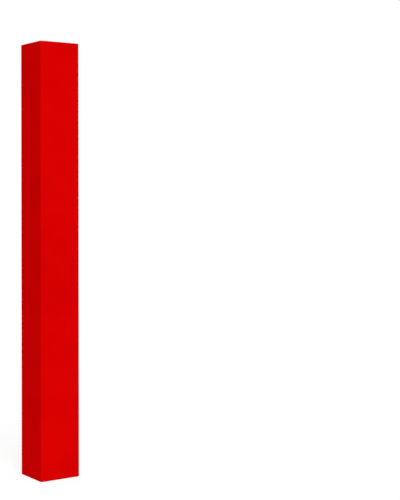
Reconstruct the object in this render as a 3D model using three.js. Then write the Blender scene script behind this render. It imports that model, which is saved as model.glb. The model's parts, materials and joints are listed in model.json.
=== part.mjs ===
// Square pole pad: four padded panels round an open square bore, joined by folds along their outer
// corners and shut by a hook and loop flap at the rear right corner.
// Millimetres, +Z up. The origin is on the floor at the middle of the bore, and the front faces -Y.
import * as THREE from 'three';

// What the bore fits round and how freely, and the pad's height
const POLE_WIDTH = 130;
const POLE_CLEARANCE = 1;
const PAD_HEIGHT = 2000;

// The layers of a panel, and the gap that lies between any two of them
const COVER_THICKNESS = 0.8;
const FOAM_THICKNESS = 30;
const LINING_THICKNESS = 0.6;
const CAP_THICKNESS = 0.8;
const LAYER_GAP = 0.3;

// The folds: a strip of cover cloth bent round each corner that turns
const FOLD_INNER_RADIUS = 1.7;
const FOLD_SWEEP = THREE.MathUtils.degToRad(225);
const FOLD_STEPS = 10;
const FOLD_SETBACK = 1;

// The closure: a flap on the back panel, with hook tape that meets loop tape on the right panel's end
const FLAP_ROOT = 4;
const TAPE_WIDTH = 25;
const TAPE_END_MARGIN = 6;
const HOOK_THICKNESS = 1.2;
const LOOP_THICKNESS = 1.2;
const SWING_CLEARANCE = 0.3;

// Depths below a panel's outer face
const FOAM_DEPTH = COVER_THICKNESS + LAYER_GAP;
const FOAM_BACK = FOAM_DEPTH + FOAM_THICKNESS;
const LINING_DEPTH = FOAM_BACK + LAYER_GAP;
const WALL = LINING_DEPTH + LINING_THICKNESS;

// Distances from the middle of the bore
const BORE_HALF = POLE_WIDTH / 2 + POLE_CLEARANCE;
const OUTER_HALF = BORE_HALF + WALL;
const FOLD_RADIUS = FOLD_INNER_RADIUS + COVER_THICKNESS;
const HINGE = OUTER_HALF - FOLD_RADIUS;
const COVER_END = HINGE - FOLD_RADIUS - LAYER_GAP;
const CORNER_CUT = COVER_END - FOLD_SETBACK;
const FLAP_HINGE = BORE_HALF - FLAP_ROOT;

// Heights of what lies between the bottom and top caps
const LAYER_FOOT = CAP_THICKNESS + LAYER_GAP;
const LAYER_HEIGHT = PAD_HEIGHT - 2 * LAYER_FOOT;

const coverRed = { color: 0xc80a0a, roughness: 0.45, metalness: 0 };
const liningRed = { color: 0xb01414, roughness: 0.6, metalness: 0 };
const foamWhite = { color: 0xe9e7e0, roughness: 0.9, metalness: 0 };
const tapeBlack = { color: 0x1b1b1d, roughness: 0.95, metalness: 0 };

// An end of a panel is a straight line across its thickness. At depth y below the outer face it is
// face - lean * y from the panel's middle, less the inset, which is measured square to the line.
const endAt = (end, y, inset) => end.face - end.lean * y - inset * Math.hypot(1, end.lean);

// A hinged end is mitred to its neighbour and cut back beside the fold.
const mitredEnd = { face: OUTER_HALF - LAYER_GAP * Math.SQRT1_2, lean: 1, cut: CORNER_CUT };

// A free end leans so that, as its panel swings out on the far fold, it stays short of the limit.
function leaningEnd(limit, stack) {
  const reach = limit + HINGE;
  const depth = WALL - FOLD_RADIUS;
  const lean = (reach - Math.sqrt(reach ** 2 - depth ** 2)) / depth;
  return { face: limit + lean * FOLD_RADIUS - stack, lean, cut: Infinity };
}

// The back panel butts against the right panel's inner face.
const buttEnd = leaningEnd(BORE_HALF - SWING_CLEARANCE, 0);

// The right panel's end carries the loop tape and stays short of the hook tape.
const HOOK_FACE = OUTER_HALF - FOAM_DEPTH - HOOK_THICKNESS;
const tapeEnd = leaningEnd(HOOK_FACE - SWING_CLEARANCE, LOOP_THICKNESS + LAYER_GAP);

// An end's outline from the shallow depth to the deep one, on the panel's left (-1) or right (1).
function endOutline(side, end, shallow, deep, inset) {
  const points = [];
  const cutDepth = (end.face - inset * Math.hypot(1, end.lean) - end.cut) / end.lean;
  if (shallow !== null) {
    points.push([Math.min(end.cut, endAt(end, shallow, inset)), shallow]);
  }
  if (Number.isFinite(end.cut)) {
    points.push([end.cut, cutDepth]);
  }
  points.push([endAt(end, deep, inset), deep]);
  return points.map(([x, y]) => new THREE.Vector2(side * x, y - OUTER_HALF));
}

// The outline of a layer that fills a panel from end to end between two depths.
function slab(ends, shallow, deep, inset) {
  const left = endOutline(-1, ends.left, shallow, deep, inset);
  const right = endOutline(1, ends.right, shallow, deep, inset);
  return [...left, ...right.reverse()];
}

// The outline of the lining: the bore's side and both ends, open towards the cover.
function channel(ends) {
  const rim = (end) => (Number.isFinite(end.cut) ? null : FOAM_DEPTH);
  const legs = (inset, deep) => {
    const left = endOutline(-1, ends.left, rim(ends.left), deep, inset);
    const right = endOutline(1, ends.right, rim(ends.right), deep, inset);
    return [...left, ...right.reverse()];
  };
  return [...legs(0, WALL), ...legs(LINING_THICKNESS, LINING_DEPTH).reverse()];
}

// A plain strip of a panel: two places along its width and two depths.
function strip(from, to, shallow, deep) {
  return [
    new THREE.Vector2(from, shallow - OUTER_HALF),
    new THREE.Vector2(to, shallow - OUTER_HALF),
    new THREE.Vector2(to, deep - OUTER_HALF),
    new THREE.Vector2(from, deep - OUTER_HALF),
  ];
}

// The loop tape's outline, parallel to the end that it is sewn to.
function tapeOutline(end) {
  const shallow = (WALL - TAPE_WIDTH) / 2;
  const deep = shallow + TAPE_WIDTH;
  const seat = (y) => end.face - end.lean * y + LAYER_GAP;
  return [
    new THREE.Vector2(seat(shallow), shallow - OUTER_HALF),
    new THREE.Vector2(seat(shallow) + LOOP_THICKNESS, shallow - OUTER_HALF),
    new THREE.Vector2(seat(deep) + LOOP_THICKNESS, deep - OUTER_HALF),
    new THREE.Vector2(seat(deep), deep - OUTER_HALF),
  ];
}

// The fold's outline: cover cloth bent round the hinge line at a panel's left or right corner.
function foldOutline(side) {
  const middle = new THREE.Vector2(side * HINGE, FOLD_RADIUS - OUTER_HALF);
  const facing = Math.atan2(-1, side);
  const arc = (radius) => Array.from({ length: FOLD_STEPS + 1 }, (_, step) => {
    const angle = facing + FOLD_SWEEP * (step / FOLD_STEPS - 0.5);
    return new THREE.Vector2(radius * Math.cos(angle), radius * Math.sin(angle)).add(middle);
  });
  return [...arc(FOLD_RADIUS), ...arc(FOLD_INNER_RADIUS).reverse()];
}

function upright(name, outline, finish, foot, height) {
  const geometry = new THREE.ExtrudeGeometry(new THREE.Shape(outline), {
    depth: height,
    steps: 1,
    bevelEnabled: false,
  });
  const mesh = new THREE.Mesh(geometry, new THREE.MeshStandardMaterial(finish));
  mesh.name = name;
  mesh.position.z = foot;
  return mesh;
}

// A panel without its cover: foam board, lining, and a cap over each end.
function paddedPanel(name, ends) {
  const capFace = PAD_HEIGHT - CAP_THICKNESS;
  const foam = slab(ends, FOAM_DEPTH, FOAM_BACK, LINING_THICKNESS + LAYER_GAP);
  const cap = slab(ends, 0, WALL, 0);
  const panel = new THREE.Group();
  panel.add(
    upright(`${name}_foam_board`, foam, foamWhite, LAYER_FOOT, LAYER_HEIGHT),
    upright(`${name}_inner_lining`, channel(ends), liningRed, LAYER_FOOT, LAYER_HEIGHT),
    upright(`${name}_bottom_cap`, cap, coverRed, 0, CAP_THICKNESS),
    upright(`${name}_top_cap`, cap, coverRed, capFace, CAP_THICKNESS),
  );
  return panel;
}

function cover(name, from, to) {
  const outline = strip(from, to, 0, COVER_THICKNESS);
  return upright(`${name}_outer_cover`, outline, coverRed, LAYER_FOOT, LAYER_HEIGHT);
}

function fold(name, side) {
  return upright(name, foldOutline(side), coverRed, 0, PAD_HEIGHT);
}

function tape(name, outline) {
  const length = PAD_HEIGHT - 2 * TAPE_END_MARGIN;
  return upright(name, outline, tapeBlack, TAPE_END_MARGIN, length);
}

function frontPanel() {
  const panel = paddedPanel('front', { left: mitredEnd, right: mitredEnd });
  panel.add(
    cover('front', -COVER_END, COVER_END),
    fold('front_left_fold', -1),
    fold('front_right_fold', 1),
  );
  return panel;
}

function leftPanel() {
  const panel = paddedPanel('left', { left: mitredEnd, right: mitredEnd });
  panel.add(
    cover('left', -COVER_END, COVER_END),
    fold('back_left_fold', -1),
  );
  return panel;
}

function rightPanel() {
  const panel = paddedPanel('right', { left: mitredEnd, right: tapeEnd });
  panel.add(
    cover('right', -COVER_END, tapeEnd.face),
    tape('loop_tape', tapeOutline(tapeEnd)),
  );
  return panel;
}

function backPanel() {
  const panel = paddedPanel('back', { left: buttEnd, right: mitredEnd });
  panel.add(cover('back', LAYER_GAP / 2 - FLAP_HINGE, COVER_END));
  return panel;
}

function closureFlap() {
  const flap = strip(-OUTER_HALF, -FLAP_HINGE - LAYER_GAP / 2, 0, COVER_THICKNESS);
  const tapeMiddle = -(BORE_HALF + OUTER_HALF) / 2;
  const hook = strip(
    tapeMiddle - TAPE_WIDTH / 2,
    tapeMiddle + TAPE_WIDTH / 2,
    FOAM_DEPTH,
    FOAM_DEPTH + HOOK_THICKNESS,
  );
  const group = new THREE.Group();
  group.add(
    upright('closure_flap', flap, coverRed, LAYER_FOOT, LAYER_HEIGHT),
    tape('hook_tape', hook),
  );
  return group;
}

// Every panel is built as the front one and turned round the bore to its own side.
function facing(quarterTurns, ...groups) {
  const side = new THREE.Group();
  side.rotation.z = quarterTurns * Math.PI / 2;
  side.add(...groups);
  return side;
}

const polePad = new THREE.Group();
polePad.add(
  facing(0, frontPanel()),
  facing(1, rightPanel()),
  facing(2, backPanel(), closureFlap()),
  facing(3, leftPanel()),
);

export default polePad;
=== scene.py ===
"""Square pole pad, dressed: four foam boards in one red vinyl cover that folds round a square bore.

Metres, +Z up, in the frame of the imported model. Every side is drawn as the front one, which faces -Y,
and turned to its place. Cloth is drawn as a line in plan, raised row by row, and then given its
thickness.
"""

import itertools
import json
import logging
import math
import random
from collections.abc import Callable
from dataclasses import dataclass
from enum import Enum
from functools import partial
from typing import Any

import bmesh
import bpy
from mathutils import Matrix, Vector, noise


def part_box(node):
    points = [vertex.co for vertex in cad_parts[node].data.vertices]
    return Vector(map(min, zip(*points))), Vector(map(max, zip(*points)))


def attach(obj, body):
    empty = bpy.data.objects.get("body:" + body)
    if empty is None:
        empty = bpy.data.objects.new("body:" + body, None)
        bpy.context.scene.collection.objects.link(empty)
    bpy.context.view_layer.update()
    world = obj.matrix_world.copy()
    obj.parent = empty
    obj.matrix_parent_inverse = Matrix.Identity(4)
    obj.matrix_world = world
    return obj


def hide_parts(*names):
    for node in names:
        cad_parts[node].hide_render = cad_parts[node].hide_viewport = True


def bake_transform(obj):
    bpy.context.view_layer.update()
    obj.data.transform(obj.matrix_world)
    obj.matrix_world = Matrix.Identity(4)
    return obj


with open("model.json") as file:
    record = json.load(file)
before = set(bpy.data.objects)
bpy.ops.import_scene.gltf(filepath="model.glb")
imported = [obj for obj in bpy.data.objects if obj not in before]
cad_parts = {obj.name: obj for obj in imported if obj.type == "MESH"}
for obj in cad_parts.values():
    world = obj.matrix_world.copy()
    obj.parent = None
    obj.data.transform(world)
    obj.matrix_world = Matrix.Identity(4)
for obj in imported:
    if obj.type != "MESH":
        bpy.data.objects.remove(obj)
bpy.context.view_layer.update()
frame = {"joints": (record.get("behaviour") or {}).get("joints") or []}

MILLIMETRE = 0.001
QUARTER_TURN = math.pi / 2
ACROSS = Vector((1, 0, 0))
OUTWARD = Vector((0, -1, 0))
UPRIGHT = Vector((0, 0, 1))

# How far the cloth stands out over the uneven foam at most, and how often to the metre it does
RIPPLE = 0.4 * MILLIMETRE
RIPPLE_WAVES = Vector((7, 7, 4))

# How many faces round off an edge, the least angle between faces that is drawn as an edge, and how
# far a face may be tilted and still count as level
EDGE_SEGMENTS = 3
SHARP_ANGLE = math.radians(35)
LEVEL_TILT = math.radians(45)

WEAVE_MAP = "Weave"
REST_PLACE = "Rest"

Colour = tuple[float, float, float]
Outline = list[tuple[float, float]]

log = logging.getLogger("pole_pad")


class Side(Enum):
    """A side of the pad, as quarter turns from the front one."""

    FRONT = 0
    RIGHT = 1
    BACK = 2
    LEFT = 3

    @property
    def label(self) -> str:
        """The side's name in the names of nodes and pieces."""
        return self.name.lower()

    @property
    def body(self) -> str:
        """The body that the side's pieces ride on."""
        return f"{self.label}_panel"

    @property
    def turn(self) -> Matrix:
        """The turn from the front side to this one."""
        return Matrix.Rotation(self.value * QUARTER_TURN, 4, "Z")


class Level(Enum):
    """An end of the pad, as the way that it faces along Z."""

    BOTTOM = -1
    TOP = 1

    @property
    def label(self) -> str:
        """The end's name in the names of nodes and pieces."""
        return self.name.lower()


class Hand(Enum):
    """The left or right end of a panel, as the way that it faces along X on the front one."""

    LEFT = -1
    RIGHT = 1


@dataclass(frozen=True)
class PanelEnd:
    """An end of a panel: a line across its wall that comes in with depth.

    Attributes:
        face: where the line meets the outer face, from the panel's middle.
        lean: how far the line comes in for each metre of depth.
        cut: where a hinged end is cut back beside its fold, or None at a free end.
    """

    face: float
    lean: float
    cut: float | None = None

    def at(self, depth: float, inset: float = 0.0) -> float:
        """Returns where the end lies at a depth, less an inset measured square to its line."""
        return self.face - self.lean * depth - inset * math.hypot(1, self.lean)

    def knee(self, inset: float = 0.0) -> float:
        """Returns the depth at which a hinged end's line reaches its cut, both less an inset."""
        return (self.at(0, inset) - self.cut + inset) / self.lean


@dataclass(frozen=True)
class PadSizes:
    """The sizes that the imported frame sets, in metres.

    Attributes:
        outer: from the middle of the bore to an outer face.
        bore: from the middle of the bore to its wall.
        height: of the whole pad.
        hinge: from the middle of the bore to a fold's axis, along X and along Y.
        cover: thickness of the outer cover cloth.
        foam_back: from an outer face to the inner side of its foam board.
        foot: height at which the layers between the caps begin.
        layer_gap: between two layers that touch.
        flap_hinge: from the middle of the bore to the line that the flap turns about.
        tape_margin: from the pad's foot to the end of a tape.
        tape_edges: how far a tape's edges lie from the middle of the bore.
        hook_seat: from the middle of the bore to the side of the hook tape that is sewn on.
        mitred: an end that meets its neighbour's at a fold.
        taped: the right panel's free end, which carries the loop tape.
        butted: the back panel's free end, which butts against the right panel's inner face.
    """

    outer: float
    bore: float
    height: float
    hinge: float
    cover: float
    foam_back: float
    foot: float
    layer_gap: float
    flap_hinge: float
    tape_margin: float
    tape_edges: tuple[float, float]
    hook_seat: float
    mitred: PanelEnd
    taped: PanelEnd
    butted: PanelEnd

    @classmethod
    def from_frame(cls) -> "PadSizes":
        """Reads the sizes off the frame's nodes and joints.

        A free end's lean is how far it comes in over a known depth: the loop tape's width, less the
        thickness that both tapes share, or the depth at which the lining starts.

        Returns:
            The pad's sizes.
        """
        axes = {joint["name"]: joint["pos_m"] for joint in frame["joints"]}
        cover_low, cover_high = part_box("front_outer_cover")
        foam_low, foam_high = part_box("front_foam_board")
        cap_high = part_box("front_top_cap")[1]
        loop_low, loop_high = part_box("loop_tape")
        hook_low, hook_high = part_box("hook_tape")
        outer = -cover_low.y
        layer_gap = foam_low.y - cover_high.y
        tape_step = loop_high.y - loop_low.y - (hook_high.y - hook_low.y)
        butt_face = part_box("back_bottom_cap")[1].x
        butt_step = butt_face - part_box("back_inner_lining")[1].x
        return cls(
            outer=outer,
            bore=-cap_high.y,
            height=cap_high.z,
            hinge=axes["right_panel_fold"][0],
            cover=cover_high.y - cover_low.y,
            foam_back=foam_high.y - cover_low.y,
            foot=foam_low.z,
            layer_gap=layer_gap,
            flap_hinge=axes["closure_flap_peel"][0],
            tape_margin=loop_low.z,
            tape_edges=(loop_low.x, loop_high.x),
            hook_seat=hook_high.y,
            mitred=PanelEnd(outer - layer_gap * math.sqrt(0.5), 1.0, foam_high.x),
            taped=PanelEnd(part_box("right_outer_cover")[1].y, tape_step / (loop_high.x - loop_low.x)),
            butted=PanelEnd(butt_face, butt_step / (foam_low.y - cover_low.y)),
        )

    @property
    def wall(self) -> float:
        """Thickness of a panel, from its outer face to the bore."""
        return self.outer - self.bore

    @property
    def fold_radius(self) -> float:
        """Outer radius of the cover where it is bent round a fold."""
        return self.outer - self.hinge

    @property
    def tape(self) -> tuple[float, float]:
        """Width and length of a tape."""
        return self.tape_edges[1] - self.tape_edges[0], self.height - 2 * self.tape_margin

    @property
    def tape_middle(self) -> float:
        """From the middle of the bore to the middle of a tape's width."""
        return sum(self.tape_edges) / 2

    def ends(self, side: Side) -> tuple[PanelEnd, PanelEnd]:
        """Returns a side's left and right end, as seen from outside it."""
        left = self.butted if side is Side.BACK else self.mitred
        return left, self.taped if side is Side.RIGHT else self.mitred

    def outline(self, side: Side, down: Callable[[PanelEnd], Outline]) -> Outline:
        """Returns the line down a panel's left end and up its right one, given what draws an end."""
        left, right = self.ends(side)
        return [(-x, depth) for x, depth in down(left)] + down(right)[::-1]


class Wire:
    """A shader socket that stands in sums, so that a pattern is written as an expression."""

    def __init__(self, recipe: "Recipe", socket: bpy.types.NodeSocket) -> None:
        """Keeps the socket and the recipe that it belongs to."""
        self.recipe = recipe
        self.socket = socket

    def _joined(self, operation: str, *values: "Wire | float") -> "Wire":
        """Adds a Math node and returns its result."""
        return self.recipe.wire("ShaderNodeMath", {"operation": operation}, dict(enumerate(values)))

    def __add__(self, other: "Wire | float") -> "Wire":
        """self + other"""
        return self._joined("ADD", self, other)

    def __radd__(self, other: "Wire | float") -> "Wire":
        """other + self"""
        return self._joined("ADD", other, self)

    def __sub__(self, other: "Wire | float") -> "Wire":
        """self - other"""
        return self._joined("SUBTRACT", self, other)

    def __rsub__(self, other: "Wire | float") -> "Wire":
        """other - self"""
        return self._joined("SUBTRACT", other, self)

    def __mul__(self, other: "Wire | float") -> "Wire":
        """self * other"""
        return self._joined("MULTIPLY", self, other)

    def __rmul__(self, other: "Wire | float") -> "Wire":
        """other * self"""
        return self._joined("MULTIPLY", other, self)

    def wave(self, length: float) -> "Wire":
        """Returns a sine of this value, from -1 to 1, that repeats with a length."""
        return self._joined("SINE", self * (2 * math.pi / length))

    def size(self) -> "Wire":
        """Returns this value without its sign."""
        return self._joined("ABSOLUTE", self)

    def raised(self) -> "Wire":
        """Returns a value from -1 to 1 as one from 0 to 1."""
        return self * 0.5 + 0.5

    def between(self, low: float, high: float) -> "Wire":
        """Returns low where this value is 0, high where it is 1, and in step between them."""
        return low + self * (high - low)

    def clipped(self, low: float, high: float) -> "Wire":
        """Returns 0 up to low, 1 from high, and a smooth rise between them."""
        feeds = {"Value": self, "From Min": low, "From Max": high}
        return self.recipe.wire("ShaderNodeMapRange", {"interpolation_type": "SMOOTHSTEP"}, feeds)


class Recipe:
    """The shader of one material or of the surroundings, made node by node.

    Attributes:
        mix_inputs: the Mix node's sockets for a share and two colours, by place, since their names
            are shared by its sockets for numbers.
        mix_output: that node's socket for the mixed colour.
    """

    mix_inputs = (0, 6, 7)
    mix_output = 2

    def __init__(self, owner: bpy.types.Material | bpy.types.World) -> None:
        """Empties the nodes of a material or a world, and keeps them to add to.

        Args:
            owner: the material or the world.
        """
        owner.use_nodes = True
        self.owner = owner
        self.tree = owner.node_tree
        self.tree.nodes.clear()

    @classmethod
    def of(cls, name: str) -> "Recipe":
        """Starts the shader of a new material."""
        return cls(bpy.data.materials.new(name))

    def node(
        self,
        kind: str,
        settings: dict[str, Any] | None = None,
        feeds: dict[str | int, Any] | None = None,
    ) -> bpy.types.Node:
        """Adds a node.

        Args:
            kind: the node's type.
            settings: its own properties, which are set first.
            feeds: the value of each of its sockets, or the wire that leads there.

        Returns:
            The node.
        """
        made = self.tree.nodes.new(kind)
        for name, value in (settings or {}).items():
            setattr(made, name, value)
        for name, value in (feeds or {}).items():
            if isinstance(value, Wire):
                self.tree.links.new(value.socket, made.inputs[name])
            else:
                made.inputs[name].default_value = value
        return made

    def wire(
        self,
        kind: str,
        settings: dict[str, Any] | None = None,
        feeds: dict[str | int, Any] | None = None,
        output: str | int = 0,
    ) -> Wire:
        """Adds a node as node() does, and returns the wire from one of its outputs."""
        return Wire(self, self.node(kind, settings, feeds).outputs[output])

    def shown(self) -> Wire:
        """Tells where the surface is seen, straight or in gloss or through glass.

        Returns:
            1 where it is seen, and 0 where it only lights something.
        """
        rays = self.node("ShaderNodeLightPath").outputs
        kinds = ("Is Camera Ray", "Is Glossy Ray", "Is Transmission Ray")
        straight, glossy, through = (Wire(self, rays[kind]) for kind in kinds)
        return straight + glossy + through

    def place(self) -> Wire:
        """Returns the Object coordinates, in metres."""
        return self.wire("ShaderNodeTexCoord", output="Object")

    def stored(self, name: str) -> Wire:
        """Returns a vector that the mesh stores for each of its points."""
        settings = {"attribute_type": "GEOMETRY", "attribute_name": name}
        return self.wire("ShaderNodeAttribute", settings, output="Vector")

    def parts(self, vector: Wire) -> tuple[Wire, ...]:
        """Returns the X, Y and Z of a vector."""
        split = self.node("ShaderNodeSeparateXYZ", feeds={"Vector": vector})
        return tuple(Wire(self, split.outputs[axis]) for axis in "XYZ")

    def weave(self, yarn: float) -> Wire:
        """Makes a plain weave that follows the cloth's UV map.

        Args:
            yarn: width of a yarn, in metres.

        Returns:
            The pattern, from 0 between the yarns to 1 on them.
        """
        mapped = self.wire("ShaderNodeUVMap", {"uv_map": WEAVE_MAP})
        along, rise, _ = self.parts(mapped)
        return (along.wave(2 * yarn) * rise.wave(2 * yarn)).raised()

    def cloud(self, place: Wire, per_metre: float, detail: float = 2.0) -> Wire:
        """Returns noise from 0 to 1 with a number of blotches to the metre."""
        feeds = {"Vector": place, "Scale": per_metre, "Detail": detail}
        return self.wire("ShaderNodeTexNoise", feeds=feeds, output="Fac")

    def tint(self, share: Wire, first: Wire | Colour, second: Colour) -> Wire:
        """Mixes two colours.

        Args:
            share: of the second colour.
            first: the first colour, or the wire that brings it.
            second: the second colour.

        Returns:
            The mixed colour.
        """
        start = first if isinstance(first, Wire) else (*first, 1)
        feeds = dict(zip(self.mix_inputs, (share, start, (*second, 1))))
        return self.wire("ShaderNodeMix", {"data_type": "RGBA"}, feeds, self.mix_output)

    def bump(self, height: Wire, depth: float) -> Wire:
        """Returns a normal for a pattern of heights from 0 to 1 that is a given depth."""
        return self.wire("ShaderNodeBump", feeds={"Height": height, "Distance": depth}, output="Normal")

    def surface(self, **feeds: Any) -> bpy.types.Material:
        """Ends the shader with a Principled surface.

        Args:
            feeds: its sockets, with an underscore for each space in their names.

        Returns:
            The finished material.
        """
        sockets = {name.replace("_", " "): value for name, value in feeds.items()}
        surface = self.wire("ShaderNodeBsdfPrincipled", feeds=sockets)
        self.node("ShaderNodeOutputMaterial", feeds={"Surface": surface})
        return self.owner


@dataclass(frozen=True, kw_only=True)
class Finish:
    """What every finish has: a pattern that brings in a second colour and stands out in relief.

    Attributes:
        name: of the material.
        colour: its main colour.
        second_colour: the one that its pattern brings in; on the vinyl, the foam and the thread this is
            painted shade in the pattern's hollows.
        roughness: the smoothest and the roughest that it gets.
        relief: depth of its pattern, in metres.
        shine: strength of the clear reflection, where 0.5 is common for plastics.
        tinted_gloss: share of the light that is reflected in the material's own colour.
        shine_tint: colour that both reflections take on.
    """

    name: str
    colour: Colour
    second_colour: Colour
    roughness: tuple[float, float]
    relief: float
    shine: float
    tinted_gloss: float = 0.0
    shine_tint: Colour = (1.0, 1.0, 1.0)

    def dressed(
        self, recipe: Recipe, colour: Wire, roughness: Wire, height: Wire, **feeds: float
    ) -> bpy.types.Material:
        """Ends a shader with this finish's surface.

        Args:
            recipe: the shader.
            colour: at each point.
            roughness: at each point.
            height: of the relief at each point, from 0 to 1.
            feeds: further sockets, as Recipe.surface takes them.

        Returns:
            The finished material.
        """
        return recipe.surface(
            Base_Color=colour,
            Roughness=roughness,
            Normal=recipe.bump(height, self.relief),
            Specular_IOR_Level=self.shine,
            Metallic=self.tinted_gloss,
            Specular_Tint=(*self.shine_tint, 1),
            **feeds,
        )


@dataclass(frozen=True, kw_only=True)
class VinylFinish(Finish):
    """Vinyl-coated woven cloth, whose yarns show faintly through the coating.

    The second colour is painted shade between the yarns, and the coating's own darker tone in faint
    cloudy patches.

    Attributes:
        rubbed: the coating's colour where an edge is rubbed.
        yarn: width of a yarn and the gap beside it, in metres.
        patches: how many cloudy patches there are to the metre.
        patch_range: the cloudiness where a patch starts and where it is full.
        grains: how many grains the coating has to the metre.
        grain_detail: how many sizes of grain lie over each other.
        grain_share: how much of the relief is grain, and not weave.
        weave_share: how much of the second colour is painted shade between the yarns, and not the
            patches.
        rub_range: the grain where the rubbing starts and where it is full.
        rub_reach: how far from a corner the cloth is rubbed, in metres.
        rub_drop: how far below the pad's top it is rubbed, in metres.
        rub_share: how much of the rubbed colour shows where the rubbing is full.
        rub_roughness: what full rubbing adds to the roughness.
    """

    rubbed: Colour
    yarn: float
    patches: float = 6.0
    patch_range: tuple[float, float] = (0.35, 0.75)
    grains: float = 260.0
    grain_detail: float = 4.0
    grain_share: float = 0.3
    weave_share: float = 0.6
    rub_range: tuple[float, float] = (0.45, 0.75)
    rub_reach: float = 4.0 * MILLIMETRE
    rub_drop: float = 0.15 * MILLIMETRE
    rub_share: float = 0.35
    rub_roughness: float = 0.05

    def material(self, sizes: PadSizes) -> bpy.types.Material:
        """Makes the cloth's material.

        Args:
            sizes: the pad's sizes, which say where its edges are.

        Returns:
            The material.
        """
        recipe = Recipe.of(self.name)
        rest = recipe.stored(REST_PLACE)
        across, through, up = recipe.parts(rest)
        clouds = recipe.cloud(rest, self.patches)
        grain = recipe.cloud(rest, self.grains, self.grain_detail)
        weave = recipe.weave(self.yarn)
        edge = sizes.outer - self.rub_reach
        corner = across.size().clipped(edge, sizes.outer) * through.size().clipped(edge, sizes.outer)
        top = up.clipped(sizes.height - self.rub_drop, sizes.height)
        rubbing = (corner + top) * grain.clipped(*self.rub_range)
        patchy = clouds.clipped(*self.patch_range)
        # Painted shade darkens the hollows between the yarns; the cloudy patches are the coating's own
        # uneven tone.
        shade = patchy * (1 - self.weave_share) + (1 - weave) * self.weave_share
        clean = recipe.tint(shade, self.colour, self.second_colour)
        uneven = (clouds + grain) * 0.5
        return self.dressed(
            recipe,
            colour=recipe.tint(rubbing * self.rub_share, clean, self.rubbed),
            roughness=uneven.between(*self.roughness) + rubbing * self.rub_roughness,
            height=weave * (1 - self.grain_share) + grain * self.grain_share,
        )


@dataclass(frozen=True, kw_only=True)
class FoamFinish(Finish):
    """Closed-cell foam board with a skin of fine cells, with the second colour painted as shade in the
    hollows along their walls.

    Attributes:
        cells: how many there are to the metre.
        wall_range: the distance from a cell's middle where the painted shade on its wall starts and
            where it is full.
        clouds: how many cloudy patches there are to the metre.
    """

    cells: float = 700.0
    wall_range: tuple[float, float] = (0.35, 0.80)
    clouds: float = 30.0

    def material(self) -> bpy.types.Material:
        """Makes the foam's material.

        Returns:
            The material.
        """
        recipe = Recipe.of(self.name)
        place = recipe.place()
        feeds = {"Vector": place, "Scale": self.cells}
        cell = recipe.wire("ShaderNodeTexVoronoi", feeds=feeds, output="Distance")
        # Painted shade: the second colour darkens the hollows along the cell walls.
        return self.dressed(
            recipe,
            colour=recipe.tint(cell.clipped(*self.wall_range), self.colour, self.second_colour),
            roughness=recipe.cloud(place, self.clouds).between(*self.roughness),
            height=1 - cell,
        )


@dataclass(frozen=True, kw_only=True)
class TapeFinish(Finish):
    """Black nylon tape: a tight weave, more or less brushed up, with faded crowns.

    Attributes:
        yarn: width of a yarn, in metres.
        pile: how much of the pattern is brushed pile, from 0 to 1.
        fibres: how many fibres of the pile there are to the metre.
        fibre_detail: how many sizes of fibre lie over each other.
        crown_range: the height where the faded crowns start and where they are full.
        sheen: strength of the soft light on its fibres.
    """

    yarn: float
    pile: float
    roughness: tuple[float, float] = (0.75, 0.95)
    shine: float = 0.3
    fibres: float = 900.0
    fibre_detail: float = 4.0
    crown_range: tuple[float, float] = (0.4, 0.9)
    sheen: float = 0.3

    def material(self) -> bpy.types.Material:
        """Makes the tape's material.

        Returns:
            The material.
        """
        recipe = Recipe.of(self.name)
        fuzz = recipe.cloud(recipe.place(), self.fibres, self.fibre_detail)
        height = fuzz * self.pile + recipe.weave(self.yarn) * (1 - self.pile)
        return self.dressed(
            recipe,
            colour=recipe.tint(height.clipped(*self.crown_range), self.colour, self.second_colour),
            roughness=height.between(*self.roughness),
            height=height,
            Sheen_Weight=self.sheen,
        )


@dataclass(frozen=True, kw_only=True)
class ThreadFinish(Finish):
    """Twisted polyester sewing thread, with the second colour painted as shade between its strands.

    Attributes:
        twist: length of one turn of its strands, in metres.
        fibres: how many loose fibres there are to the metre.
    """

    twist: float = 1.1 * MILLIMETRE
    fibres: float = 1500.0

    def material(self) -> bpy.types.Material:
        """Makes the thread's material.

        Returns:
            The material.
        """
        recipe = Recipe.of(self.name)
        place = recipe.place()
        across, through, up = recipe.parts(place)
        strands = (across + through + up).wave(self.twist).raised()
        # Painted shade: the second colour darkens the hollows between the strands.
        return self.dressed(
            recipe,
            colour=recipe.tint(1 - strands, self.colour, self.second_colour),
            roughness=recipe.cloud(place, self.fibres).between(*self.roughness),
            height=strands,
        )


COVER_FINISH = VinylFinish(
    name="cover_vinyl",
    colour=(0.745, 0.0006, 0.0006),
    # Painted shade between the yarns, and the darker tone of the cloudy patches
    second_colour=(0.610, 0.0005, 0.0005),
    rubbed=(0.760, 0.010, 0.010),
    roughness=(0.44, 0.54),
    relief=0.08 * MILLIMETRE,
    shine=0.0,
    tinted_gloss=0.08,
    shine_tint=(1.0, 0.12, 0.12),
    yarn=1.1 * MILLIMETRE,
)
LINING_FINISH = VinylFinish(
    name="lining_vinyl",
    colour=(0.460, 0.004, 0.004),
    # Painted shade between the yarns, and the darker tone of the cloudy patches
    second_colour=(0.370, 0.003, 0.003),
    rubbed=(0.470, 0.012, 0.012),
    roughness=(0.60, 0.72),
    relief=0.05 * MILLIMETRE,
    shine=0.3,
    shine_tint=(1.0, 0.4, 0.4),
    yarn=0.9 * MILLIMETRE,
)
FOAM_FINISH = FoamFinish(
    name="foam_board",
    colour=(0.80, 0.79, 0.74),
    # Painted shade in the hollows along the cell walls
    second_colour=(0.62, 0.61, 0.56),
    roughness=(0.80, 0.95),
    relief=0.25 * MILLIMETRE,
    shine=0.3,
)
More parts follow.
